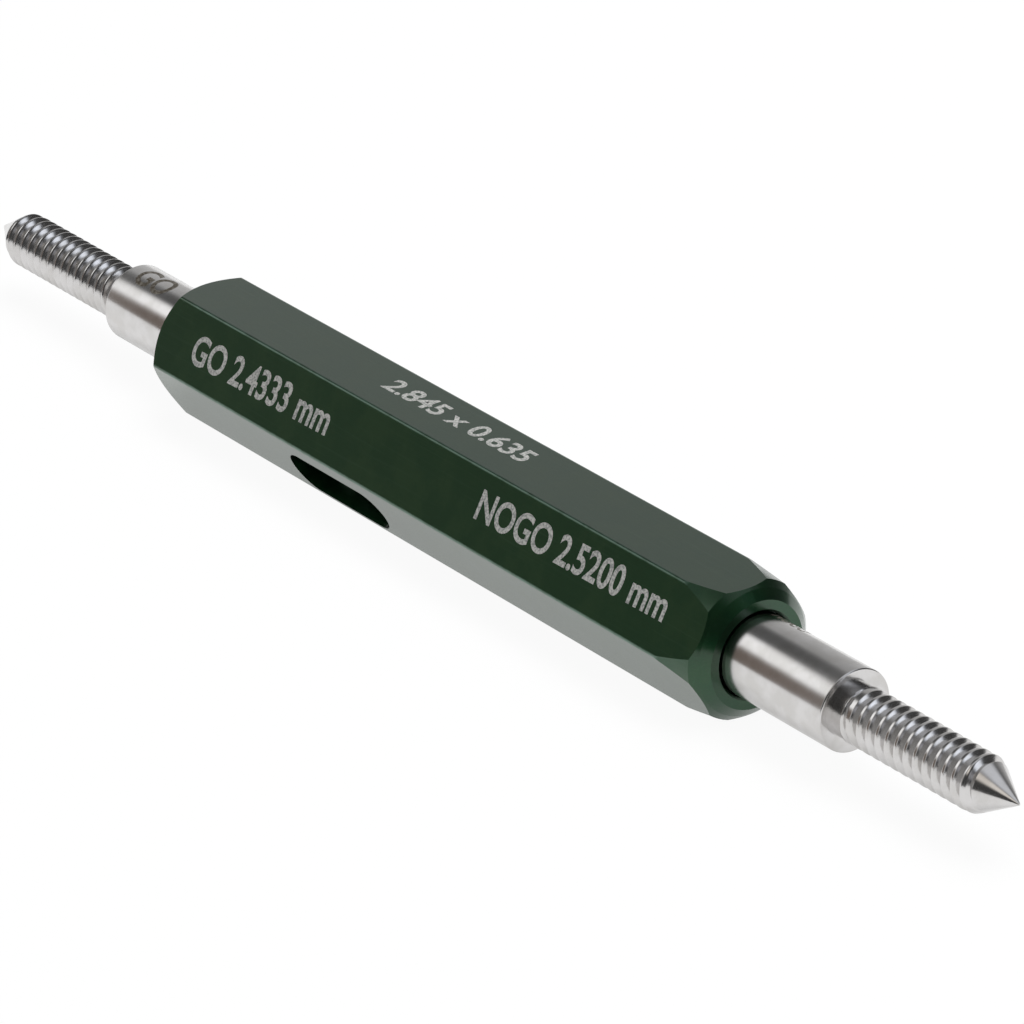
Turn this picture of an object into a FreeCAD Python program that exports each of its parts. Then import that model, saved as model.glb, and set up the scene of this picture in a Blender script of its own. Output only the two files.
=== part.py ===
"""Double-ended thread plug gauge: a hexagonal handle with a GO and a NOGO member.

Millimetres.  X runs along the gauge, GO end at -X and NOGO end at +X.  The
gauge lies on one flat of the handle: +Z is up, the resting flat is at z = 0
and the origin is the middle of that flat.
"""
import FreeCAD, Part
import math
import os

os.makedirs("parts", exist_ok=True)

# ---- handle ---------------------------------------------------------------
HEX_FLATS = 6.45            # across flats
HANDLE_LENGTH = 44.45
HEX_EDGE_ROUND = 0.2        # the six long edges
CHAMFER_CREASE_R = 3.12     # where the outer and inner end cones meet
CHAMFER_CREASE_IN = 0.375   # crease, measured back from the end face
CHAMFER_OUTER_DEG = 43.0    # outer cone, to the axis
END_RING_R = 2.67           # outside of the flat ring round the bore mouth
LEAD_DEG = 7.0              # eased lead of the corners at the NOGO end
LEAD_END_R = 3.43           # where that lead meets the outer cone

# ---- taper sockets and the shanks that fill them ----------------------------
TAPER_PER_MM = 1.0 / 48.0   # on diameter
SOCKET_MOUTH_D = 3.9        # large end of the taper
SOCKET_DEPTH = 11.2         # end face to the end of the socket taper, NOGO
RECESS_DEPTH = 1.2          # cylindrical recess in front of the taper
RECESS_CLEARANCE = 0.09     # recess to collar, on radius
MOUTH_BREAK = 0.1           # countersink of the recess edge
SHANK_SHORT = 0.6           # shank stops this far before the socket's end
SHANK_TAIL_BREAK = 0.25     # chamfer of the shank's small end
SOCKET_FLOOR_ANGLE = 118.0  # drill point at the end of the NOGO socket

# ---- drift slot and knock-out bore -------------------------------------------
SLOT_LENGTH = 7.65
SLOT_WIDTH = 2.56
SLOT_FROM_GO_END = 15.45    # slot centre, from the GO end face
SLOT_OFFSET = 0.34          # slot centre line below the middle of the flat
SLOT_TILT_DEG = -60.0       # slot axis from upright to square with the lower front flat
SHANK_IN_SLOT = 0.7         # GO shank stands this far into the slot
KNOCKOUT_D = 2.3            # axial bore from the slot to the NOGO socket

# ---- thread, common to both members --------------------------------------------
PITCH = 0.635
FLANK_ANGLE = 60.0

# ---- gauging members -----------------------------------------------------------
COLLAR_D = 4.05
COLLAR_EDGE = 0.08          # easing of the collar's front edge
CONE_ANGLE = 60.0           # male centre, included
CONE_TIP_FLAT = 0.05        # radius of the flat left on the centre
NECK_LENGTH = 0.55          # plain neck between collar and thread
NECK_UNDER = 0.05           # neck below the crest, on radius
RUNOUT_TURNS = 0.75         # turns over which the groove fades out

GO_PITCH_D = 2.433
GO_MAJOR_D = 2.845
GO_COLLAR_OUT = 5.95        # collar standing out of the handle
GO_THREAD_LENGTH = 10.3     # collar face to the base of the centre
GO_PHASE = 0.762            # turn of the thread about the axis, in turns

NOGO_PITCH_D = 2.517
NOGO_MAJOR_D = 2.785
NOGO_COLLAR_OUT = 6.89
NOGO_THREAD_LENGTH = 8.72
NOGO_PHASE = 0.892

# ---- derived -------------------------------------------------------------------
AXIS_Z = HEX_FLATS / 2.0
HALF_LENGTH = HANDLE_LENGTH / 2.0
SOCKET_MOUTH_R = SOCKET_MOUTH_D / 2.0
COLLAR_R = COLLAR_D / 2.0
RECESS_R = COLLAR_R + RECESS_CLEARANCE
HEX_CORNER_R = HEX_FLATS / math.sqrt(3.0)
RAIL_POINTS = 15            # points that fix one turn of a thread rail
RAIL_NUDGE = 1e-4           # part of a turn, for the heading at a rail's ends
STOCK_OVER = 0.4            # bounding outline stands this far over the crest
SAME_WAY = 1                # both rails of a ruled face run the same way
CUT_CLEAR = 1.1             # how far a turning tool stands outside the bar's corners
EDGE_MATCH = 1e-6           # length tolerance when edges are picked
X_AXIS = FreeCAD.Vector(1, 0, 0)
AXIS_POINT = FreeCAD.Vector(0, 0, AXIS_Z)


def solid_of_revolution(outline):
    """Turn a closed outline of (x, radius) pairs about the gauge's axis."""
    points = [FreeCAD.Vector(x, 0, AXIS_Z + radius) for x, radius in outline]
    points.append(points[0])
    face = Part.Face(Part.makePolygon(points))
    return face.revolve(AXIS_POINT, X_AXIS, 360.0)


def mirrored_outline(outline):
    """The same outline on the GO side, where x is negative."""
    return [(-x, radius) for x, radius in reversed(outline)]


def taper_radius(depth):
    """Radius of the taper, by depth behind its large end."""
    return SOCKET_MOUTH_R - depth * TAPER_PER_MM / 2.0


# ---- handle --------------------------------------------------------------------
def hex_bar():
    """Hexagonal bar with rounded long edges, lying on a flat."""
    corners = []
    for index in range(6):
        angle = math.radians(60.0 * index)
        corners.append(FreeCAD.Vector(-HALF_LENGTH,
                                      HEX_CORNER_R * math.cos(angle),
                                      AXIS_Z + HEX_CORNER_R * math.sin(angle)))
    corners.append(corners[0])
    section = Part.Face(Part.makePolygon(corners))
    bar = section.extrude(FreeCAD.Vector(HANDLE_LENGTH, 0, 0))
    long_edges = [edge for edge in bar.Edges
                  if abs(edge.Length - HANDLE_LENGTH) < EDGE_MATCH]
    return bar.makeFillet(HEX_EDGE_ROUND, long_edges)


def end_outline(with_lead):
    """Outline of one turned end, from the middle of the bar to the axis."""
    crease_x = HALF_LENGTH - CHAMFER_CREASE_IN
    slope = math.tan(math.radians(CHAMFER_OUTER_DEG))
    clear_r = HEX_CORNER_R * CUT_CLEAR
    outline = [(0.0, 0.0), (0.0, clear_r)]
    if with_lead:
        lead_end_x = crease_x - (LEAD_END_R - CHAMFER_CREASE_R) / slope
        lead_length = (clear_r - LEAD_END_R) / math.tan(math.radians(LEAD_DEG))
        outline.append((lead_end_x - lead_length, clear_r))
        outline.append((lead_end_x, LEAD_END_R))
    else:
        outline.append((crease_x - (clear_r - CHAMFER_CREASE_R) / slope, clear_r))
    outline.append((crease_x, CHAMFER_CREASE_R))
    outline.append((HALF_LENGTH, END_RING_R))
    outline.append((HALF_LENGTH, 0.0))
    return outline


def turned_envelope():
    """Everything the turned ends leave of the bar."""
    go_half = solid_of_revolution(mirrored_outline(end_outline(False)))
    nogo_half = solid_of_revolution(end_outline(True))
    return go_half.fuse(nogo_half)


def socket_outline(depth, floor_rise):
    """Outline of a socket: mouth break, recess, taper and a conical floor."""
    taper_start = HALF_LENGTH - RECESS_DEPTH
    floor_x = HALF_LENGTH - depth
    small_r = taper_radius(taper_start - floor_x)
    outline = [(floor_x - floor_rise, 0.0), (floor_x, small_r)]
    outline.append((taper_start, SOCKET_MOUTH_R))
    outline.append((taper_start, RECESS_R))
    outline.append((HALF_LENGTH - MOUTH_BREAK, RECESS_R))
    outline.append((HALF_LENGTH, RECESS_R + MOUTH_BREAK))
    outline.append((HALF_LENGTH, 0.0))
    return outline


def nogo_socket():
    """Taper socket of the NOGO end, with a drill-point floor."""
    half_point = math.radians(SOCKET_FLOOR_ANGLE / 2.0)
    small_r = taper_radius(SOCKET_DEPTH - RECESS_DEPTH)
    outline = socket_outline(SOCKET_DEPTH, small_r / math.tan(half_point))
    return solid_of_revolution(outline)


def go_socket():
    """Taper socket of the GO end, open into the drift slot."""
    outline = socket_outline(SLOT_FROM_GO_END, SLOT_WIDTH / 2.0)
    return solid_of_revolution(mirrored_outline(outline))


def drift_slot():
    """Slot with round ends, through the handle between two opposite flats."""
    half_straight = (SLOT_LENGTH - SLOT_WIDTH) / 2.0
    half_width = SLOT_WIDTH / 2.0
    reach = HEX_FLATS
    block = Part.makeBox(2.0 * half_straight, SLOT_WIDTH, 2.0 * reach,
                         FreeCAD.Vector(-half_straight, -half_width, -reach))
    tool = block
    for side in (-1.0, 1.0):
        centre = FreeCAD.Vector(side * half_straight, 0, -reach)
        tool = tool.fuse(Part.makeCylinder(half_width, 2.0 * reach, centre))
    tool = tool.removeSplitter()
    tool.translate(FreeCAD.Vector(0, SLOT_OFFSET, 0))
    tool.rotate(FreeCAD.Vector(0, 0, 0), X_AXIS, SLOT_TILT_DEG)
    slot_x = -HALF_LENGTH + SLOT_FROM_GO_END
    tool.translate(FreeCAD.Vector(slot_x, 0, AXIS_Z))
    return tool


def knockout_bore():
    """Axial bore from the drift slot to the NOGO socket."""
    slot_x = -HALF_LENGTH + SLOT_FROM_GO_END
    length = HALF_LENGTH - SOCKET_DEPTH - slot_x
    start = FreeCAD.Vector(slot_x, 0, AXIS_Z)
    return Part.makeCylinder(KNOCKOUT_D / 2.0, length, start, X_AXIS)


def build_handle():
    """The handle: hex bar, turned ends, two taper sockets, slot and bore."""
    handle = hex_bar().common(turned_envelope())
    for tool in (nogo_socket(), go_socket(), drift_slot(), knockout_bore()):
        handle = handle.cut(tool)
    return handle


# ---- thread --------------------------------------------------------------------
class Thread:
    """Right-hand gauging thread of one member, wound about the gauge's axis."""

    def __init__(self, side, pitch_d, crest_r, neck_x, base_x, phase):
        slope = math.tan(math.radians(FLANK_ANGLE / 2.0))
        pitch_r = pitch_d / 2.0
        self.side = side
        self.neck_x = neck_x
        self.crest_r = crest_r
        self.root_r = pitch_r - PITCH / 4.0 / slope
        self.half_open = PITCH / 4.0 + (crest_r - pitch_r) * slope
        self.start_x = side * base_x - PITCH * phase

    def corners(self):
        """Section of the groove: crest, root and crest, as (offset, radius)."""
        return [(-self.half_open, self.crest_r), (0.0, self.root_r),
                (self.half_open, self.crest_r)]

    def run_out(self, turn):
        """How far the root is drawn outward, where the groove fades at the neck."""
        x = self.start_x + PITCH * turn
        turns_off_neck = (self.side * x - self.neck_x) / PITCH
        fade = 1.0 - turns_off_neck / RUNOUT_TURNS
        fade = min(max(fade, 0.0), 1.0)
        return (self.crest_r - self.root_r) * fade * fade * (3.0 - 2.0 * fade)

    def point(self, turn, offset, radius):
        """Where one corner of the section is, after a number of turns."""
        if radius < self.crest_r:
            radius += self.run_out(turn)
        angle = 2.0 * math.pi * turn
        return FreeCAD.Vector(self.start_x + PITCH * turn + offset,
                              radius * math.cos(angle),
                              AXIS_Z + radius * math.sin(angle))

    def rail(self, turn, corner):
        """Curve that one corner of the section follows over one turn."""
        steps = [turn + index / RAIL_POINTS for index in range(RAIL_POINTS + 1)]
        points = [self.point(step, *corner) for step in steps]
        heading = []
        for step in (steps[0], steps[-1]):
            ahead = self.point(step + RAIL_NUDGE, *corner)
            behind = self.point(step - RAIL_NUDGE, *corner)
            heading.append((ahead - behind) * (0.5 / RAIL_NUDGE))
        curve = Part.BSplineCurve()
        curve.interpolate(Points=points, Parameters=steps, InitialTangent=heading[0],
                          FinalTangent=heading[1], Scale=False)
        return curve.toShape()

    def turn_range(self, tip_x):
        """Whole turns that reach past the neck and past the centre's tip."""
        reach = sorted([self.side * self.neck_x, self.side * tip_x])
        first = math.floor((reach[0] - self.start_x) / PITCH) - 1
        last = math.ceil((reach[1] - self.start_x) / PITCH) + 1
        return range(first, last)


def foot_on_axis(point):
    """The point of the axis level with a given point."""
    return FreeCAD.Vector(point.x, 0, AXIS_Z)


def ramp_to_axis(rail):
    """Winding face from one rail straight in to the axis."""
    feet = [foot_on_axis(vertex.Point) for vertex in rail.Vertexes]
    return Part.makeRuledSurface(Part.makeLine(feet[0], feet[-1]), rail, SAME_WAY)


def radial_step(row, end):
    """Flat face from the axis out to the ends of one row of rails."""
    points = [rail.Vertexes[end].Point for rail in row]
    points.append(foot_on_axis(points[-1]))
    points.append(foot_on_axis(points[0]))
    points.append(points[0])
    return Part.Face(Part.makePolygon(points))


def wound_bar(thread, turns):
    """Bar with the thread on it: flank, flank and crest faces, turn by turn."""
    rows = [[thread.rail(turn, corner) for corner in thread.corners()]
            for turn in turns]
    last_rail = thread.rail(turns.stop, thread.corners()[0])
    for row, following in zip(rows, rows[1:]):
        row.append(following[0])
    rows[-1].append(last_rail)
    faces = [ramp_to_axis(rows[0][0]), ramp_to_axis(last_rail)]
    faces.append(radial_step(rows[0], 0))
    faces.append(radial_step(rows[-1], -1))
    for row in rows:
        for rail, following in zip(row, row[1:]):
            faces.append(Part.makeRuledSurface(rail, following, SAME_WAY))
    shell = Part.makeShell(faces)
    shell.sewShape()
    bar = Part.makeSolid(Part.Shell(shell.Faces))
    if bar.Volume < 0:
        bar.reverse()
    return bar


# ---- gauging members -------------------------------------------------------------
def shank_outline(face_x, neck_x, neck_r, shank_end_x):
    """Outline of a member's plain part, from the shank's end to the neck."""
    taper_start = HALF_LENGTH - RECESS_DEPTH
    break_x = shank_end_x + SHANK_TAIL_BREAK
    break_r = taper_radius(taper_start - break_x)
    return [
        (shank_end_x, 0.0),
        (shank_end_x, break_r - SHANK_TAIL_BREAK),
        (break_x, break_r),
        (taper_start, SOCKET_MOUTH_R),
        (taper_start, COLLAR_R),
        (face_x - COLLAR_EDGE, COLLAR_R),
        (face_x, COLLAR_R - COLLAR_EDGE),
        (face_x, neck_r),
        (neck_x, neck_r),
        (neck_x, 0.0),
    ]


def stretch_outline(neck_x, neck_r, base_x, crest_r, tip_x):
    """Outline that bounds the threaded stretch: thread shoulder and centre."""
    cone_slope = math.tan(math.radians(CONE_ANGLE / 2.0))
    clear_r = crest_r + STOCK_OVER
    return [
        (neck_x, 0.0),
        (neck_x, neck_r),
        (neck_x + clear_r - neck_r, clear_r),
        (base_x - STOCK_OVER / cone_slope, clear_r),
        (tip_x, CONE_TIP_FLAT),
        (tip_x, 0.0),
    ]


def build_member(side, collar_out, thread_length, pitch_d, major_d, phase, shank_end_x):
    """One member: centre, thread, neck, collar and taper shank, in one piece."""
    crest_r = major_d / 2.0
    neck_r = crest_r - NECK_UNDER
    face_x = HALF_LENGTH + collar_out
    neck_x = face_x + NECK_LENGTH
    base_x = face_x + thread_length
    cone_slope = math.tan(math.radians(CONE_ANGLE / 2.0))
    tip_x = base_x + (crest_r - CONE_TIP_FLAT) / cone_slope
    plain = shank_outline(face_x, neck_x, neck_r, shank_end_x)
    stretch = stretch_outline(neck_x, neck_r, base_x, crest_r, tip_x)
    if side < 0:
        plain = mirrored_outline(plain)
        stretch = mirrored_outline(stretch)
    thread = Thread(side, pitch_d, crest_r, neck_x, base_x, phase)
    bar = wound_bar(thread, thread.turn_range(tip_x))
    threaded = bar.common(solid_of_revolution(stretch))
    return solid_of_revolution(plain).fuse(threaded)


def build_go_member():
    """GO member, on the -X side; its shank reaches into the drift slot."""
    shank_end_x = HALF_LENGTH - SLOT_FROM_GO_END + SLOT_LENGTH / 2.0 - SHANK_IN_SLOT
    return build_member(-1.0, GO_COLLAR_OUT, GO_THREAD_LENGTH, GO_PITCH_D,
                        GO_MAJOR_D, GO_PHASE, shank_end_x)


def build_nogo_member():
    """NOGO member, on the +X side; its crest is cut lower."""
    shank_end_x = HALF_LENGTH - SOCKET_DEPTH + SHANK_SHORT
    return build_member(1.0, NOGO_COLLAR_OUT, NOGO_THREAD_LENGTH, NOGO_PITCH_D,
                        NOGO_MAJOR_D, NOGO_PHASE, shank_end_x)


def export(shape, name):
    """Write one node as a STEP file, after checking it is one valid solid."""
    if len(shape.Solids) != 1 or not shape.isValid():
        raise ValueError(name + " is not one valid solid")
    shape.Solids[0].exportStep("parts/" + name + ".step")


def main():
    export(build_handle(), "handle")
    export(build_go_member(), "go_member")
    export(build_nogo_member(), "nogo_member")


main()
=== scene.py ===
"""Looks of a double-ended thread plug gauge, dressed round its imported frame.

Metres.  X runs along the gauge from the GO end to the NOGO end, +Z is up and
the resting flat of the hexagonal handle lies at z = 0.
"""
import logging
import math
from dataclasses import dataclass, field
from enum import Enum
from typing import Any, Callable, Iterable, Optional, Sequence, Union

import bmesh
import bpy
from mathutils import Matrix, Vector


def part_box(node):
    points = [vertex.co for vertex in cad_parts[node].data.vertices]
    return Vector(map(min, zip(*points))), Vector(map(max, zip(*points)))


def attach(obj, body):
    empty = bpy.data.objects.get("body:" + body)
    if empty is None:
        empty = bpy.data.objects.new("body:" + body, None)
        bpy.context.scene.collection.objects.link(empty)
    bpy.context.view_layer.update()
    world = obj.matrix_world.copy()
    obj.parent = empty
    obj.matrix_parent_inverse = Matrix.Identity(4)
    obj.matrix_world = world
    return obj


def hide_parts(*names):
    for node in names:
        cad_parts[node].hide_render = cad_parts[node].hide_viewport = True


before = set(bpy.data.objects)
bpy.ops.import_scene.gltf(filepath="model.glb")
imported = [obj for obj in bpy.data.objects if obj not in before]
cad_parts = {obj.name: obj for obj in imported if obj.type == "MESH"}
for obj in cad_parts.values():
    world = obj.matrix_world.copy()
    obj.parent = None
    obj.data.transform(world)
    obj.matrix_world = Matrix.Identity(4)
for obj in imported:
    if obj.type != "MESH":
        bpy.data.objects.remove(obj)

LOG = logging.getLogger("thread_plug_gauge")
MM = 0.001
ROOT_BODY = "root"
WELD_DISTANCE = 2e-7

Colour = tuple[float, float, float, float]
Outline = list[tuple[float, float]]


def grey(level: float) -> Colour:
    """Returns an opaque neutral colour of one linear level."""
    return (level, level, level, 1.0)


# ---- node trees written as Python ------------------------------------------------
class Field:
    """A number that varies over a tree, with Python's operators as Math nodes."""

    def __init__(self, graph: "Graph", socket: bpy.types.NodeSocket) -> None:
        """Wraps one output socket of a graph."""
        self.graph = graph
        self.socket = socket

    def _math(self, operation: str, *others: Any) -> "Field":
        """Returns a Math node of this field and others."""
        return self.graph.math(operation, self, *others)

    def __add__(self, other: Any) -> "Field":
        """Sum."""
        return self._math("ADD", other)

    __radd__ = __add__

    def __sub__(self, other: Any) -> "Field":
        """Difference."""
        return self._math("SUBTRACT", other)

    def __rsub__(self, other: Any) -> "Field":
        """Difference with the field on the right."""
        return self.graph.math("SUBTRACT", other, self)

    def __mul__(self, other: Any) -> "Field":
        """Product."""
        return self._math("MULTIPLY", other)

    __rmul__ = __mul__

    def __truediv__(self, other: Any) -> "Field":
        """Quotient."""
        return self._math("DIVIDE", other)

    def __rtruediv__(self, other: Any) -> "Field":
        """Quotient with the field below the line."""
        return self.graph.math("DIVIDE", other, self)

    def __pow__(self, other: Any) -> "Field":
        """Power."""
        return self._math("POWER", other)

    def __neg__(self) -> "Field":
        """Sign turned round."""
        return self._math("MULTIPLY", -1.0)

    def __abs__(self) -> "Field":
        """Size without sign."""
        return self._math("ABSOLUTE")

    def floor(self) -> "Field":
        """Whole part."""
        return self._math("FLOOR")

    def fraction(self) -> "Field":
        """What is left above the whole part."""
        return self._math("FRACT")

    def least(self, other: Any) -> "Field":
        """The smaller of two."""
        return self._math("MINIMUM", other)

    def most(self, other: Any) -> "Field":
        """The larger of two."""
        return self._math("MAXIMUM", other)

    def soft_least(self, other: Any, reach: Any) -> "Field":
        """The smaller of two, with a rounded corner where they meet."""
        return self._math("SMOOTH_MIN", other, reach)

    def soft_most(self, other: Any, reach: Any) -> "Field":
        """The larger of two, with a rounded corner where they meet."""
        return self._math("SMOOTH_MAX", other, reach)

    def below(self, other: Any) -> "Field":
        """1 where the field is smaller, else 0."""
        return self._math("LESS_THAN", other)

    def above(self, other: Any) -> "Field":
        """1 where the field is larger, else 0."""
        return self._math("GREATER_THAN", other)

    def cosine(self) -> "Field":
        """Cosine of an angle in radians."""
        return self._math("COSINE")

    def sine(self) -> "Field":
        """Sine of an angle in radians."""
        return self._math("SINE")

    def rise(self, low: Any, high: Any) -> "Field":
        """Smooth step from 0 at low to 1 at high; low may be the larger.

        Args:
            low: where the step is 0.
            high: where the step is 1.

        Returns:
            The step, kept between 0 and 1.
        """
        node = self.graph.add("ShaderNodeMapRange", {"interpolation_type": "SMOOTHSTEP"},
                              {"Value": self, "From Min": low, "From Max": high})
        return Field(self.graph, node.outputs[0])


class Graph:
    """A node tree being built: one method adds any node."""

    def __init__(self, tree: bpy.types.NodeTree) -> None:
        """Starts on an empty tree."""
        self.tree = tree
        tree.nodes.clear()

    def add(self, kind: str, settings: Optional[dict] = None, sockets: Optional[dict] = None) -> bpy.types.Node:
        """Adds one node.

        Args:
            kind: the node's type name.
            settings: its properties, and a colour ramp's stops under "stops".
            sockets: value, field or socket for each input, by name or number.

        Returns:
            The new node.
        """
        node = self.tree.nodes.new(kind)
        for name, value in (settings or {}).items():
            if name == "stops":
                self._set_stops(node, value)
            else:
                setattr(node, name, value)
        for key, value in (sockets or {}).items():
            self.feed(node.inputs[key], value)
        return node

    @staticmethod
    def _set_stops(node: bpy.types.Node, stops: Sequence[tuple[float, Colour]]) -> None:
        """Gives a colour ramp its stops."""
        elements = node.color_ramp.elements
        while len(elements) > 1:
            elements.remove(elements[-1])
        elements[0].position, elements[0].color = stops[0]
        for position, colour in stops[1:]:
            elements.new(position).color = colour

    def feed(self, socket: bpy.types.NodeSocket, value: Any) -> None:
        """Links a field or socket into an input, or sets the input's value."""
        if isinstance(value, Field):
            value = value.socket
        if isinstance(value, bpy.types.NodeSocket):
            self.tree.links.new(value, socket)
        else:
            socket.default_value = value

    def math(self, operation: str, *values: Any) -> Field:
        """Returns the field of one Math node."""
        node = self.add("ShaderNodeMath", {"operation": operation}, dict(enumerate(values)))
        return Field(self, node.outputs[0])

    def vector(self, operation: str, *values: Any) -> bpy.types.NodeSocket:
        """Returns the vector of one Vector Math node."""
        node = self.add("ShaderNodeVectorMath", {"operation": operation}, dict(enumerate(values)))
        return node.outputs["Vector"]

    def dot(self, first: Any, second: Any) -> Field:
        """Returns the scalar product of two vectors."""
        node = self.add("ShaderNodeVectorMath", {"operation": "DOT_PRODUCT"}, {0: first, 1: second})
        return Field(self, node.outputs["Value"])

    def split(self, vector: Any) -> tuple[Field, Field, Field]:
        """Returns the three parts of a vector."""
        node = self.add("ShaderNodeSeparateXYZ", None, {0: vector})
        return tuple(Field(self, output) for output in node.outputs)

    def join(self, x: Any, y: Any, z: Any) -> bpy.types.NodeSocket:
        """Returns a vector of three parts."""
        return self.add("ShaderNodeCombineXYZ", None, {0: x, 1: y, 2: z}).outputs[0]

    def noise(self, vector: Any, scale: float, detail: float = 2.0, roughness: float = 0.5) -> Field:
        """Returns a noise field, 0 to 1, of a vector."""
        node = self.add("ShaderNodeTexNoise", None,
                        {"Vector": vector, "Scale": scale, "Detail": detail, "Roughness": roughness})
        return Field(self, node.outputs[0])

    def mix(self, factor: Any, first: Any, second: Any, blend: str = "MIX") -> bpy.types.NodeSocket:
        """Returns a colour mixed from two."""
        node = self.add("ShaderNodeMix", {"data_type": "RGBA", "blend_type": blend},
                        {0: factor, 6: first, 7: second})
        return node.outputs[2]


# ---- finishes ----------------------------------------------------------------------
class Finish:
    """A procedural material; each kind says how its surface varies."""

    name: str = "finish"

    def build(self) -> bpy.types.Material:
        """Makes the material and returns it."""
        material = bpy.data.materials.new(self.name)
        material.use_nodes = True
        graph = Graph(material.node_tree)
        shader = graph.add("ShaderNodeBsdfPrincipled")
        output = graph.add("ShaderNodeOutputMaterial")
        graph.feed(output.inputs["Surface"], shader.outputs[0])
        self.dress(graph, shader)
        return material

    def dress(self, graph: Graph, shader: bpy.types.Node) -> None:
        """Feeds the shader; each finish has its own."""
        raise NotImplementedError

    @staticmethod
    def millimetres(graph: Graph) -> bpy.types.NodeSocket:
        """Returns the object position in millimetres."""
        place = graph.add("ShaderNodeTexCoord").outputs["Object"]
        return graph.vector("MULTIPLY", place, (1.0 / MM,) * 3)


@dataclass(frozen=True)
class GreenAnodising(Finish):
    """Dark green anodised aluminium: a dyed film over drawn metal.

    The metal below the film mirrors the surroundings in green; the film's own
    gloss lies over it as a coat.  Sizes are in millimetres, from the axis.
    """

    name: str = "green_anodising"
    axis_height: float = 3.225
    half_length: float = 22.225
    corner_radius: float = 3.69
    corner_width: float = 0.035
    end_stretch: float = 1.6
    deep: Colour = (0.004, 0.052, 0.016, 1.0)
    olive: Colour = (0.010, 0.058, 0.018, 1.0)
    worn: Colour = (0.055, 0.125, 0.082, 1.0)
    metal_roughness: float = 0.34
    film_roughness: float = 0.16

    def dress(self, graph: Graph, shader: bpy.types.Node) -> None:
        """Feeds colour, gloss and relief of the anodised bar."""
        place = self.millimetres(graph)
        x, y, z = graph.split(place)
        clouds = graph.noise(place, 0.45, 4.0, 0.6)
        drawing = graph.noise(graph.vector("MULTIPLY", place, (0.18, 7.0, 7.0)), 1.0, 3.0)
        grain = graph.noise(place, 14.0, 2.0)
        body = graph.mix(clouds.rise(0.40, 0.64), self.deep, self.olive)
        body = graph.mix(drawing.rise(0.52, 0.85) * 0.12, body, self.worn)
        corner = self._corner(graph, x, y, z - self.axis_height)
        patchy = graph.noise(place, 1.3, 4.0).rise(0.32, 0.58)
        body = graph.mix(corner * (0.35 + 0.65 * patchy), body, self.worn)
        graph.feed(shader.inputs["Base Color"], body)
        shader.inputs["Metallic"].default_value = 1.0
        roughness = self.metal_roughness + 0.08 * clouds + 0.06 * grain
        graph.feed(shader.inputs["Roughness"], roughness)
        shader.inputs["Coat Weight"].default_value = 1.0
        shader.inputs["Coat Roughness"].default_value = self.film_roughness
        relief = graph.add("ShaderNodeBump", None, {
            "Strength": 0.10, "Distance": 0.01 * MM, "Height": 0.5 * drawing + 0.5 * grain})
        graph.feed(shader.inputs["Normal"], relief.outputs[0])

    def _corner(self, graph: Graph, x: Field, across: Field, up: Field) -> Field:
        """Returns 1 on the long corners of the hexagon, 0 off them and at the ends."""
        reach = (across * across + up * up) ** 0.5
        inner = self.corner_radius - self.corner_width
        end = self.half_length - self.end_stretch
        return reach.rise(inner, self.corner_radius) * abs(x).rise(end, end - 1.0)


@dataclass(frozen=True)
class GroundSteel(Finish):
    """Hardened gauge steel, ground round, with fine turning lines."""

    name: str = "ground_steel"
    bright: Colour = (0.66, 0.65, 0.645, 1.0)
    dull: Colour = (0.60, 0.588, 0.575, 1.0)
    plain_roughness: float = 0.13

    def dress(self, graph: Graph, shader: bpy.types.Node) -> None:
        """Feeds colour, gloss and relief of the ground steel."""
        place = self.millimetres(graph)
        lines = graph.noise(graph.vector("MULTIPLY", place, (24.0, 0.5, 0.5)), 1.0, 3.0, 0.6)
        clouds = graph.noise(place, 1.1, 3.0)
        graph.feed(shader.inputs["Base Color"], graph.mix(clouds.rise(0.35, 0.65), self.bright, self.dull))
        shader.inputs["Metallic"].default_value = 1.0
        graph.feed(shader.inputs["Roughness"], self.plain_roughness + 0.07 * lines + 0.02 * clouds)
        relief = graph.add("ShaderNodeBump", None, {"Strength": 0.15, "Distance": 0.01 * MM, "Height": lines})
        graph.feed(shader.inputs["Normal"], relief.outputs[0])


@dataclass(frozen=True)
class LaserMark(Finish):
    """Pale laser marking with grainy strokes."""

    name: str = "laser_mark"
    pale: Colour = (0.42, 0.42, 0.40, 1.0)
    dark: Colour = (0.20, 0.21, 0.20, 1.0)

    def dress(self, graph: Graph, shader: bpy.types.Node) -> None:
        """Feeds the grain of the marking."""
        grain = graph.noise(self.millimetres(graph), 9.0, 2.0)
        graph.feed(shader.inputs["Base Color"], graph.mix(grain.rise(0.35, 0.62), self.dark, self.pale))
        graph.feed(shader.inputs["Roughness"], 0.55 + 0.2 * grain)


@dataclass(frozen=True)
class EtchedMark(Finish):
    """Dark brown electro-etched marking on steel."""

    name: str = "etched_mark"
    dark: Colour = (0.075, 0.062, 0.045, 1.0)
    faded: Colour = (0.19, 0.175, 0.15, 1.0)

    def dress(self, graph: Graph, shader: bpy.types.Node) -> None:
        """Feeds the patchy stain of the etching."""
        stain = graph.noise(self.millimetres(graph), 6.0, 3.0)
        graph.feed(shader.inputs["Base Color"], graph.mix(stain.rise(0.38, 0.66), self.dark, self.faded))
        shader.inputs["Metallic"].default_value = 0.6
        graph.feed(shader.inputs["Roughness"], 0.35 + 0.2 * stain)


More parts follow.
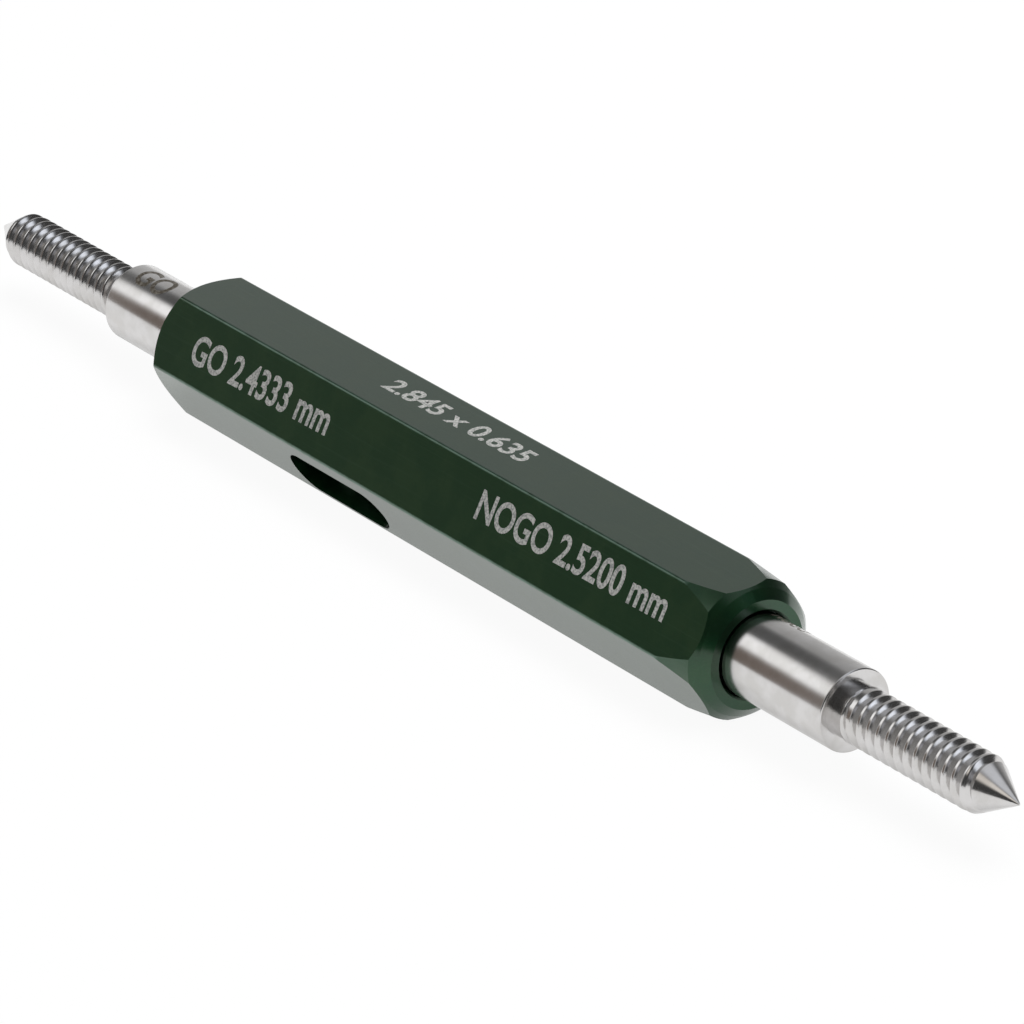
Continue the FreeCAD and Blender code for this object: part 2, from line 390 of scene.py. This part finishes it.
# ---- pieces --------------------------------------------------------------------------
class Flat(Enum):
    """The three flats of the handle that carry or border marks, by normal angle.

    The angle is about +X, from +Y towards +Z, in degrees.
    """

    TOP = 90.0
    UPPER_FRONT = 150.0
    LOWER_FRONT = 210.0

    def normal(self) -> Vector:
        """Returns the outward normal."""
        angle = math.radians(self.value)
        return Vector((0.0, math.cos(angle), math.sin(angle)))

    def upward(self) -> Vector:
        """Returns the direction across the flat, away from the reader."""
        angle = math.radians(self.value - 90.0)
        return Vector((0.0, math.cos(angle), math.sin(angle)))


def finish_piece(name: str, mesh: bpy.types.Mesh, material: bpy.types.Material,
                 stands_for: Sequence[str] = ()) -> bpy.types.Object:
    """Makes an object of a mesh and hands it to the frame.

    Args:
        name: the piece's name.
        mesh: its mesh, with its place in its vertices.
        material: its finish.
        stands_for: frame nodes that it replaces.

    Returns:
        The new object.
    """
    mesh.materials.clear()
    mesh.materials.append(material)
    piece = bpy.data.objects.new(name, mesh)
    bpy.context.scene.collection.objects.link(piece)
    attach(piece, ROOT_BODY)
    if stands_for:
        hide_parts(*stands_for)
    LOG.info("%s: %d faces", name, len(mesh.polygons))
    return piece


def plain_mesh(source: bpy.types.Object, name: str) -> bpy.types.Mesh:
    """Turns an object with its modifiers into a plain mesh and removes the object."""
    graph = bpy.context.evaluated_depsgraph_get()
    mesh = bpy.data.meshes.new_from_object(source.evaluated_get(graph))
    mesh.name = name
    bpy.data.objects.remove(source)
    return mesh


def modifier_mesh(tree: bpy.types.NodeTree, values: dict[str, Any], name: str) -> bpy.types.Mesh:
    """Runs a Geometry Nodes tree once and returns its mesh.

    Args:
        tree: the tree, whose inputs are found by name.
        values: value of each named input.
        name: name of the mesh.

    Returns:
        The plain mesh that the tree made.
    """
    carrier = bpy.data.objects.new(name + "_carrier", bpy.data.meshes.new(name + "_seed"))
    bpy.context.scene.collection.objects.link(carrier)
    modifier = carrier.modifiers.new("tree", "NODES")
    modifier.node_group = tree
    sockets = {item.name: item.identifier for item in tree.interface.items_tree if item.in_out == "INPUT"}
    for label, value in values.items():
        modifier[sockets[label]] = value
    return plain_mesh(carrier, name)


class TreeInputs:
    """The named inputs of a Geometry Nodes tree."""

    def __init__(self, name: str) -> None:
        """Makes an empty tree with one geometry output."""
        self.tree = bpy.data.node_groups.new(name, "GeometryNodeTree")
        self.tree.interface.new_socket("Geometry", in_out="OUTPUT", socket_type="NodeSocketGeometry")
        self.graph = Graph(self.tree)
        self.entry = self.graph.add("NodeGroupInput")

    def number(self, name: str, kind: str = "NodeSocketFloat") -> Field:
        """Adds a named input and returns it as a field."""
        self.tree.interface.new_socket(name, in_out="INPUT", socket_type=kind)
        return Field(self.graph, self.entry.outputs[name])

    def finish(self, geometry: bpy.types.NodeSocket) -> bpy.types.NodeTree:
        """Ends the tree in Realize Instances and Set Material, and returns it."""
        material = self.number("Material", "NodeSocketMaterial")
        real = self.graph.add("GeometryNodeRealizeInstances", None, {0: geometry})
        dressed = self.graph.add("GeometryNodeSetMaterial", None,
                                 {"Geometry": real.outputs[0], "Material": material})
        self.graph.feed(self.graph.add("NodeGroupOutput").inputs[0], dressed.outputs[0])
        return self.tree


@dataclass
class ScrewThread:
    """The rule that both gauging threads follow, as one Geometry Nodes tree.

    The tree lays a grid round the axis whose rows follow the right-hand
    helix, so that crests and roots run along rows, and cuts it back to the
    turned blank: neck, crest and male centre.
    """

    steps_per_pitch: int = 22
    steps_around: int = 96
    tree: bpy.types.NodeTree = field(init=False)

    def __post_init__(self) -> None:
        """Builds the tree."""
        self.tree = self._build()

    def _build(self) -> bpy.types.NodeTree:
        """Returns the thread tree with its named inputs."""
        inputs = TreeInputs("screw_thread")
        graph = inputs.graph
        pitch = inputs.number("Pitch")
        mean_r = inputs.number("Pitch Radius")
        crest_r = inputs.number("Crest Radius")
        root_r = inputs.number("Root Radius")
        soft = inputs.number("Corner Softness")
        rows = inputs.number("Rows", "NodeSocketInt")
        columns = inputs.number("Columns", "NodeSocketInt")
        start = inputs.number("Helix Start")
        side = inputs.number("Side")
        neck_end = inputs.number("Neck End")
        neck_r = inputs.number("Neck Radius")
        apex = inputs.number("Centre Apex")
        reach_end = inputs.number("Reach End")
        runout = inputs.number("Run-out Turns")
        axis_height = inputs.number("Axis Height")
        slope = math.tan(math.radians(30.0))
        grid = graph.add("GeometryNodeMeshGrid", None,
                         {"Vertices X": rows, "Vertices Y": columns})
        index = Field(graph, graph.add("GeometryNodeInputIndex").outputs[0])
        row = (index / columns + 1e-4).floor()
        column = index - row * columns
        around = column / (columns - 1.0)
        along = row / float(self.steps_per_pitch)
        turn = (along + 1e-5).floor()
        from_groove = (along - turn - 0.5) * pitch
        groove_x = start + pitch * (turn + around)
        outward = side * (groove_x + from_groove)
        flank = mean_r + (abs(from_groove) - pitch / 4.0) / slope
        groove = flank.soft_most(root_r, soft)
        fading = (side * groove_x - neck_end) / pitch
        groove = groove + (crest_r - root_r) * (1.0 - fading.rise(0.0, runout))
        outside = outward.below(neck_end) + outward.above(reach_end)
        kept = outward.most(neck_end).least(reach_end)
        cone = (apex - kept) * slope
        neck = neck_r + kept - neck_end
        blank = crest_r.least(neck).soft_least(cone, soft * (1.0 - outside) + 1e-9)
        radius = (groove + outside).soft_least(blank, soft)
        angle = around * math.tau
        place = graph.join(kept * side, radius * angle.cosine(), radius * angle.sine() + axis_height)
        moved = graph.add("GeometryNodeSetPosition", None, {"Geometry": grid.outputs[0], "Position": place})
        welded = graph.add("GeometryNodeMergeByDistance", None,
                           {"Geometry": moved.outputs[0], "Distance": WELD_DISTANCE})
        return inputs.finish(welded.outputs[0])


@dataclass
class GaugeMember:
    """One steel gauging member: taper shank, collar, neck, thread and centre.

    Sizes are in millimetres; the side is -1 at the GO end and 1 at the NOGO end.
    """

    node: str
    side: float
    pitch_diameter: float
    major_diameter: float
    collar_out: float
    thread_length: float
    shank_end: float
    phase: float
    half_handle: float
    axis_height: float
    pitch: float = 0.635
    collar_diameter: float = 4.05
    collar_edge: float = 0.08
    recess_depth: float = 1.2
    shank_diameter: float = 3.9
    taper: float = 1.0 / 48.0
    tail_break: float = 0.25
    neck_length: float = 0.55
    neck_under: float = 0.05
    runout_turns: float = 0.75
    tip_flat: float = 0.05
    groove_end: float = 0.9
    softness: float = 0.018
    edge_steps: int = 5

    @property
    def face(self) -> float:
        """Outward distance of the collar's front face."""
        return self.half_handle + self.collar_out

    @property
    def base(self) -> float:
        """Outward distance of the base of the male centre."""
        return self.face + self.thread_length

    @property
    def crest(self) -> float:
        """Radius over the crests."""
        return self.major_diameter / 2.0

    @property
    def root(self) -> float:
        """Radius in the root of the groove."""
        return self.pitch_diameter / 2.0 - self.pitch / 4.0 / math.tan(math.radians(30.0))

    def build(self, thread: ScrewThread, steel: bpy.types.Material) -> bpy.types.Object:
        """Makes the member in one welded piece and returns it."""
        slope = math.tan(math.radians(30.0))
        apex = self.base + self.crest / slope
        reach_end = self.base + self.groove_end
        threaded = self._thread_mesh(thread, steel, apex, reach_end)
        shape = bmesh.new()
        shape.from_mesh(threaded)
        self._turn(shape, self._tip_outline(apex, reach_end), thread.steps_around)
        self._turn(shape, self._tail_outline(), thread.steps_around)
        bmesh.ops.remove_doubles(shape, verts=shape.verts, dist=WELD_DISTANCE)
        bmesh.ops.dissolve_degenerate(shape, edges=shape.edges, dist=WELD_DISTANCE)
        bmesh.ops.recalc_face_normals(shape, faces=shape.faces)
        mesh = bpy.data.meshes.new(self.node + "_finished")
        shape.to_mesh(mesh)
        open_edges = sum(1 for edge in shape.edges if len(edge.link_faces) != 2)
        LOG.info("%s: %d open or shared edges", self.node, open_edges)
        shape.free()
        bpy.data.meshes.remove(threaded)
        mesh.shade_smooth()
        mesh.set_sharp_from_angle(angle=math.radians(38.0))
        return finish_piece(self.node + "_finished", mesh, steel, (self.node,))

    def _thread_mesh(self, thread: ScrewThread, steel: bpy.types.Material, apex: float,
                     reach_end: float) -> bpy.types.Mesh:
        """Returns the threaded stretch, from the neck into the male centre."""
        neck_end = self.face + self.neck_length
        helix = self.side * self.base - self.pitch * self.phase
        low = min(self.side * neck_end, self.side * reach_end)
        high = max(self.side * neck_end, self.side * reach_end)
        helix += self.pitch * (math.floor((low - helix) / self.pitch) - 1.0)
        turns = math.ceil((high - low) / self.pitch) + 3
        values = {
            "Pitch": self.pitch * MM,
            "Pitch Radius": self.pitch_diameter / 2.0 * MM,
            "Crest Radius": self.crest * MM,
            "Root Radius": self.root * MM,
            "Corner Softness": self.softness * MM,
            "Rows": turns * thread.steps_per_pitch + 1,
            "Columns": thread.steps_around + 1,
            "Helix Start": helix * MM,
            "Side": self.side,
            "Neck End": neck_end * MM,
            "Neck Radius": (self.crest - self.neck_under) * MM,
            "Centre Apex": apex * MM,
            "Reach End": reach_end * MM,
            "Run-out Turns": self.runout_turns,
            "Axis Height": self.axis_height * MM,
            "Material": steel,
        }
        return modifier_mesh(thread.tree, values, self.node + "_thread")

    def _tip_outline(self, apex: float, reach_end: float) -> Outline:
        """Returns the male centre beyond the last of the groove."""
        slope = math.tan(math.radians(30.0))
        tip = apex - self.tip_flat / slope
        return [(reach_end, (apex - reach_end) * slope), (tip, self.tip_flat), (tip, 0.0)]

    def _tail_outline(self) -> Outline:
        """Returns neck, collar and taper shank, from the thread inwards."""
        neck_r = self.crest - self.neck_under
        collar_r = self.collar_diameter / 2.0
        taper_start = self.half_handle - self.recess_depth
        outline = [(self.face + self.neck_length, neck_r), (self.face, neck_r)]
        for step in range(self.edge_steps + 1):
            angle = math.radians(90.0) * step / self.edge_steps
            outline.append((self.face - self.collar_edge * (1.0 - math.cos(angle)),
                            collar_r - self.collar_edge * (1.0 - math.sin(angle))))
        shank_r = self.shank_diameter / 2.0
        break_x = self.shank_end + self.tail_break
        break_r = shank_r - (taper_start - break_x) * self.taper / 2.0
        outline.append((taper_start, collar_r))
        outline.append((taper_start, shank_r))
        outline.append((break_x, break_r))
        outline.append((self.shank_end, break_r - self.tail_break))
        outline.append((self.shank_end, 0.0))
        return outline

    def _turn(self, shape: bmesh.types.BMesh, outline: Outline, steps: int) -> None:
        """Adds a turned surface of an outline of (outward, radius) pairs."""
        rings = []
        for outward, radius in outline:
            count = steps if radius > 0.0 else 1
            ring = []
            for index in range(count):
                angle = math.tau * index / steps
                ring.append(shape.verts.new(Vector((self.side * outward, radius * math.cos(angle),
                                                    self.axis_height + radius * math.sin(angle))) * MM))
            rings.append(ring)
        for near, far in zip(rings, rings[1:]):
            for index in range(steps):
                following = (index + 1) % steps
                corners = [near[index], near[following]]
                corners += [far[0]] if len(far) == 1 else [far[following], far[index]]
                shape.faces.new(corners)


@dataclass
class Lettering:
    """Plain marks, cut as thin raised solids that follow the surface."""

    thickness: float = 0.006
    embolden: float = 0.02
    bend_cuts: int = 3

    def letters(self, words: str, height: float, width: float) -> bmesh.types.BMesh:
        """Makes words as a mesh in millimetres, centred on the origin.

        Args:
            words: what is marked.
            height: height of a capital.
            width: length of the whole line.

        Returns:
            The mesh, upright along Y and thin along Z.
        """
        text = bpy.data.curves.new("words", "FONT")
        text.body = words
        text.size = height
        text.extrude = self.thickness / 2.0
        text.offset = self.embolden * height
        text.align_x, text.align_y = "CENTER", "CENTER"
        carrier = bpy.data.objects.new("words", text)
        bpy.context.scene.collection.objects.link(carrier)
        bpy.context.view_layer.update()
        mesh = plain_mesh(carrier, "words")
        shape = bmesh.new()
        shape.from_mesh(mesh)
        bpy.data.meshes.remove(mesh)
        low, high = self._span(shape)
        middle = (low + high) / 2.0
        scale = Vector((width / (high.x - low.x), height / (high.y - low.y), 1.0))
        for vertex in shape.verts:
            offset = vertex.co - middle
            vertex.co = Vector((offset.x * scale.x, offset.y * scale.y, offset.z))
        bmesh.ops.remove_doubles(shape, verts=shape.verts, dist=1e-4)
        return shape

    @staticmethod
    def _span(shape: bmesh.types.BMesh) -> tuple[Vector, Vector]:
        """Returns the lowest and highest corner of a mesh."""
        low = Vector([min(vertex.co[axis] for vertex in shape.verts) for axis in range(3)])
        high = Vector([max(vertex.co[axis] for vertex in shape.verts) for axis in range(3)])
        return low, high

    def on_flat(self, name: str, words: str, flat: Flat, height: float, width: float, middle: tuple[float, float],
                tilt: float, apothem: float, axis_height: float, material: bpy.types.Material) -> bpy.types.Object:
        """Lays words on a flat of the handle.

        Args:
            name: the piece's name.
            words: what is marked.
            flat: the flat that carries it.
            height: height of a capital, mm.
            width: length of the line, mm.
            middle: its middle along X and across the flat, mm.
            tilt: turn of the line on the flat, degrees.
            apothem: distance of the flat from the axis, mm.
            axis_height: height of the axis, mm.
            material: its finish.

        Returns:
            The piece.
        """
        shape = self.letters(words, height, width)
        normal, upward = flat.normal(), flat.upward()
        turn = Matrix.Rotation(math.radians(tilt), 3, "Z")
        origin = Vector((middle[0], 0.0, axis_height)) + normal * apothem + upward * middle[1]
        for vertex in shape.verts:
            local = turn @ vertex.co
            vertex.co = (origin + Vector((local.x, 0.0, 0.0)) + upward * local.y + normal * local.z) * MM
        return self._finish(name, shape, material, "anodised_handle")

    def on_collar(self, name: str, words: str, height: float, width: float, middle: tuple[float, float],
                  radius: float, axis_height: float, material: bpy.types.Material) -> bpy.types.Object:
        """Wraps words round a collar.

        Args:
            name: the piece's name.
            words: what is marked.
            height: height of a capital, mm.
            width: length of the line, mm.
            middle: its middle along X, mm, and its angle round the axis, degrees.
            radius: radius of the collar, mm.
            axis_height: height of the axis, mm.
            material: its finish.

        Returns:
            The piece.
        """
        shape = self.letters(words, height, width)
        bmesh.ops.triangulate(shape, faces=shape.faces)
        for _ in range(self.bend_cuts):
            long_edges = [edge for edge in shape.edges if edge.calc_length() > 0.12]
            bmesh.ops.subdivide_edges(shape, edges=long_edges, cuts=1)
            bmesh.ops.triangulate(shape, faces=shape.faces)
        for vertex in shape.verts:
            angle = math.radians(middle[1]) - vertex.co.y / radius
            reach = radius + vertex.co.z
            vertex.co = Vector((middle[0] + vertex.co.x, reach * math.cos(angle),
                                axis_height + reach * math.sin(angle))) * MM
        return self._finish(name, shape, material, "gauge_steel")

    @staticmethod
    def _finish(name: str, shape: bmesh.types.BMesh, material: bpy.types.Material, slot: str) -> bpy.types.Object:
        """Turns a mesh under construction into a piece."""
        bmesh.ops.recalc_face_normals(shape, faces=shape.faces)
        mesh = bpy.data.meshes.new(name)
        shape.to_mesh(mesh)
        shape.free()
        return finish_piece(name, mesh, material)


@dataclass
class Handle:
    """The anodised hexagonal handle and the marks on its flats, in millimetres."""

    flats: float
    half_length: float
    axis_height: float
    node: str = "handle"

    def dress(self, anodising: bpy.types.Material) -> None:
        """Gives the frame's handle its finish."""
        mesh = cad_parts[self.node].data
        mesh.materials.clear()
        mesh.materials.append(anodising)
        LOG.info("%s: %d faces", self.node, len(mesh.polygons))

    def mark(self, lettering: Lettering, material: bpy.types.Material) -> None:
        """Adds the plain words and numbers on the flats."""
        apothem = self.flats / 2.0
        lettering.on_flat("go_flat_mark", "GO 2.4333 mm", Flat.UPPER_FRONT, 1.55, 11.6, (-13.0, 0.055), 0.9,
                          apothem, self.axis_height, material)
        lettering.on_flat("nogo_flat_mark", "NOGO 2.5200 mm", Flat.UPPER_FRONT, 1.5, 14.2, (11.9, 0.35), 0.6,
                          apothem, self.axis_height, material)
        lettering.on_flat("size_flat_mark", "2.845 x 0.635", Flat.TOP, 1.22, 11.1, (-0.75, 0.34), 0.6,
                          apothem, self.axis_height, material)


# ---- studio ----------------------------------------------------------------------------
@dataclass(frozen=True)
class GlowPatch:
    """A soft patch of the surrounding studio, by direction.

    The direction is an angle round +X, from +Y towards +Z, at the given tilt
    from the -X axis; its colour takes the place of what lies behind the patch.
    """

    ring_angle: float
    tilt: float
    inner: float
    outer: float
    colour: Colour

    def direction(self) -> Vector:
        """Returns the unit direction from the gauge to the patch."""
        angle, tilt = math.radians(self.ring_angle), math.radians(self.tilt)
        return Vector((-math.cos(tilt), math.sin(tilt) * math.cos(angle), math.sin(tilt) * math.sin(angle)))


@dataclass
class Studio:
    """White floor, pale surroundings, lamps and the camera."""

    camera_azimuth: float = 53.925
    camera_elevation: float = 26.306
    camera_roll: float = -1.642
    camera_distance: float = 286.105
    aim_offset: tuple[float, float] = (3.4854, 0.2089)
    lens: float = 212.342
    floor_size: float = 1.2
    floor_white: float = 0.94
    floor_mirrored: float = 0.66
    far_level: float = 0.06
    patches: tuple[GlowPatch, ...] = (
        GlowPatch(84.0, 43.6, 8.0, 22.0, grey(0.10)),
        GlowPatch(131.0, 43.6, 12.0, 24.0, grey(1.25)),
        GlowPatch(163.0, 43.6, 10.0, 22.0, (0.19, 0.155, 0.135, 1.0)),
        GlowPatch(75.0, 96.0, 12.0, 40.0, (0.72, 0.74, 0.78, 1.0)),
        GlowPatch(123.0, 103.0, 6.0, 20.0, (0.95, 0.90, 0.84, 1.0)),
        GlowPatch(50.6, 145.7, 6.0, 15.0, (1.25, 1.32, 1.45, 1.0)),
        GlowPatch(104.6, 161.4, 4.0, 10.0, (0.42, 0.42, 0.45, 1.0)),
    )

    def build(self, centre: Vector) -> None:
        """Makes everything round the gauge."""
        self._floor()
        self._world()
        self._lamps()
        self._camera(centre)

    def _seen_white(self, graph: Graph) -> Field:
        """Returns how much of the floor is plain white, by kind of ray."""
        path = graph.add("ShaderNodeLightPath")
        camera = Field(graph, path.outputs["Is Camera Ray"])
        glossy = Field(graph, path.outputs["Is Glossy Ray"])
        through = Field(graph, path.outputs["Is Transmission Ray"])
        return (camera * self.floor_white).most(glossy.most(through) * self.floor_mirrored)

    def _floor(self) -> None:
        """Adds the white floor."""
        half = self.floor_size / 2.0
        mesh = bpy.data.meshes.new("floor")
        mesh.from_pydata([(-half, -half, 0.0), (half, -half, 0.0), (half, half, 0.0), (-half, half, 0.0)],
                         [], [(0, 1, 2, 3)])
        floor = bpy.data.objects.new("floor", mesh)
        bpy.context.scene.collection.objects.link(floor)
        material = bpy.data.materials.new("floor_white")
        material.use_nodes = True
        graph = Graph(material.node_tree)
        paint = graph.add("ShaderNodeBsdfDiffuse", None, {"Color": grey(0.8)})
        glow = graph.add("ShaderNodeEmission", None, {"Color": grey(1.0), "Strength": 1.0})
        mixed = graph.add("ShaderNodeMixShader", None, {
            0: self._seen_white(graph), 1: paint.outputs[0], 2: glow.outputs[0]})
        graph.feed(graph.add("ShaderNodeOutputMaterial").inputs["Surface"], mixed.outputs[0])
        mesh.materials.append(material)

    def _world(self) -> None:
        """Lights the gauge from a pale studio, white to the camera."""
        world = bpy.data.worlds.new("studio")
        bpy.context.scene.world = world
        world.use_nodes = True
        graph = Graph(world.node_tree)
        direction = graph.add("ShaderNodeTexCoord").outputs["Generated"]
        along, _, upward = graph.split(direction)
        pale = graph.mix(upward.rise(0.0, 0.9), grey(0.60), grey(0.34))
        light = graph.mix(along.rise(0.15, -0.35), grey(self.far_level), pale)
        for patch in self.patches:
            near = graph.dot(direction, tuple(patch.direction()))
            inside = near.rise(math.cos(math.radians(patch.outer)), math.cos(math.radians(patch.inner)))
            light = graph.mix(inside, light, patch.colour)
        path = graph.add("ShaderNodeLightPath")
        seen = graph.mix(path.outputs["Is Camera Ray"], light, grey(1.0))
        background = graph.add("ShaderNodeBackground", None, {"Color": seen, "Strength": 1.0})
        graph.feed(graph.add("ShaderNodeOutputWorld").inputs["Surface"], background.outputs[0])

    @staticmethod
    def _lamps() -> None:
        """Adds the soft overhead lamp."""
        data = bpy.data.lights.new("overhead", "AREA")
        data.shape, data.size, data.size_y = "RECTANGLE", 0.5, 0.3
        data.energy = 2.8
        lamp = bpy.data.objects.new("overhead", data)
        lamp.location = (0.05, 0.1, 0.5)
        lamp.visible_glossy = False
        lamp.rotation_euler = (Vector((0.0, 0.0, 0.0)) - lamp.location).to_track_quat("-Z", "Y").to_euler()
        bpy.context.scene.collection.objects.link(lamp)

    def _camera(self, centre: Vector) -> None:
        """Places the camera, aimed beside the middle of the handle."""
        azimuth, elevation = math.radians(self.camera_azimuth), math.radians(self.camera_elevation)
        back = Vector((math.sin(azimuth) * math.cos(elevation), -math.cos(azimuth) * math.cos(elevation),
                       math.sin(elevation)))
        level = Vector((math.cos(azimuth), math.sin(azimuth), 0.0))
        upward = back.cross(level)
        roll = math.radians(self.camera_roll)
        right = level * math.cos(roll) + upward * math.sin(roll)
        upward = back.cross(right)
        aim = centre + Vector((self.aim_offset[0], self.aim_offset[1], 0.0)) * MM
        place = Matrix((right, upward, back)).transposed().to_4x4()
        place.translation = aim + back * self.camera_distance * MM
        data = bpy.data.cameras.new("camera")
        data.lens, data.sensor_width = self.lens, 36.0
        data.clip_start, data.clip_end = 0.01, 10.0
        camera = bpy.data.objects.new("camera", data)
        camera.matrix_world = place
        bpy.context.scene.collection.objects.link(camera)
        bpy.context.scene.camera = camera


def main() -> None:
    """Builds the gauge's looks, sub-assembly by sub-assembly."""
    logging.basicConfig(level=logging.INFO, format="%(message)s")
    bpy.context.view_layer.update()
    low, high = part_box("handle")
    flats = (high.z - low.z) / MM
    half_length = (high.x - low.x) / 2.0 / MM
    axis_height = flats / 2.0

    anodising = GreenAnodising(axis_height=axis_height, half_length=half_length).build()
    steel = GroundSteel().build()
    handle = Handle(flats, half_length, axis_height)
    handle.dress(anodising)
    lettering = Lettering()
    handle.mark(lettering, LaserMark().build())

    thread = ScrewThread()
    members = (
        GaugeMember("go_member", -1.0, 2.433, 2.845, 5.95, 10.3, shank_end=9.9, phase=0.762,
                    half_handle=half_length, axis_height=axis_height),
        GaugeMember("nogo_member", 1.0, 2.517, 2.785, 6.89, 8.72, shank_end=11.625, phase=0.892,
                    half_handle=half_length, axis_height=axis_height),
    )
    for member in members:
        member.build(thread, steel)

    etching = EtchedMark().build()
    collar_r = members[0].collar_diameter / 2.0
    lettering.on_collar("go_collar_mark", "GO", 1.5, 2.7, (-25.9, 97.0), collar_r, axis_height, etching)
    lettering.on_collar("nogo_collar_mark", "NOGO", 0.9, 2.2, (23.5, 58.0), collar_r, axis_height, etching)

    studio = Studio()
    studio.build((low + high) / 2.0)
    bpy.context.scene.view_settings.view_transform = "Standard"

    bpy.context.view_layer.update()


if __name__ == "__main__":
    main()
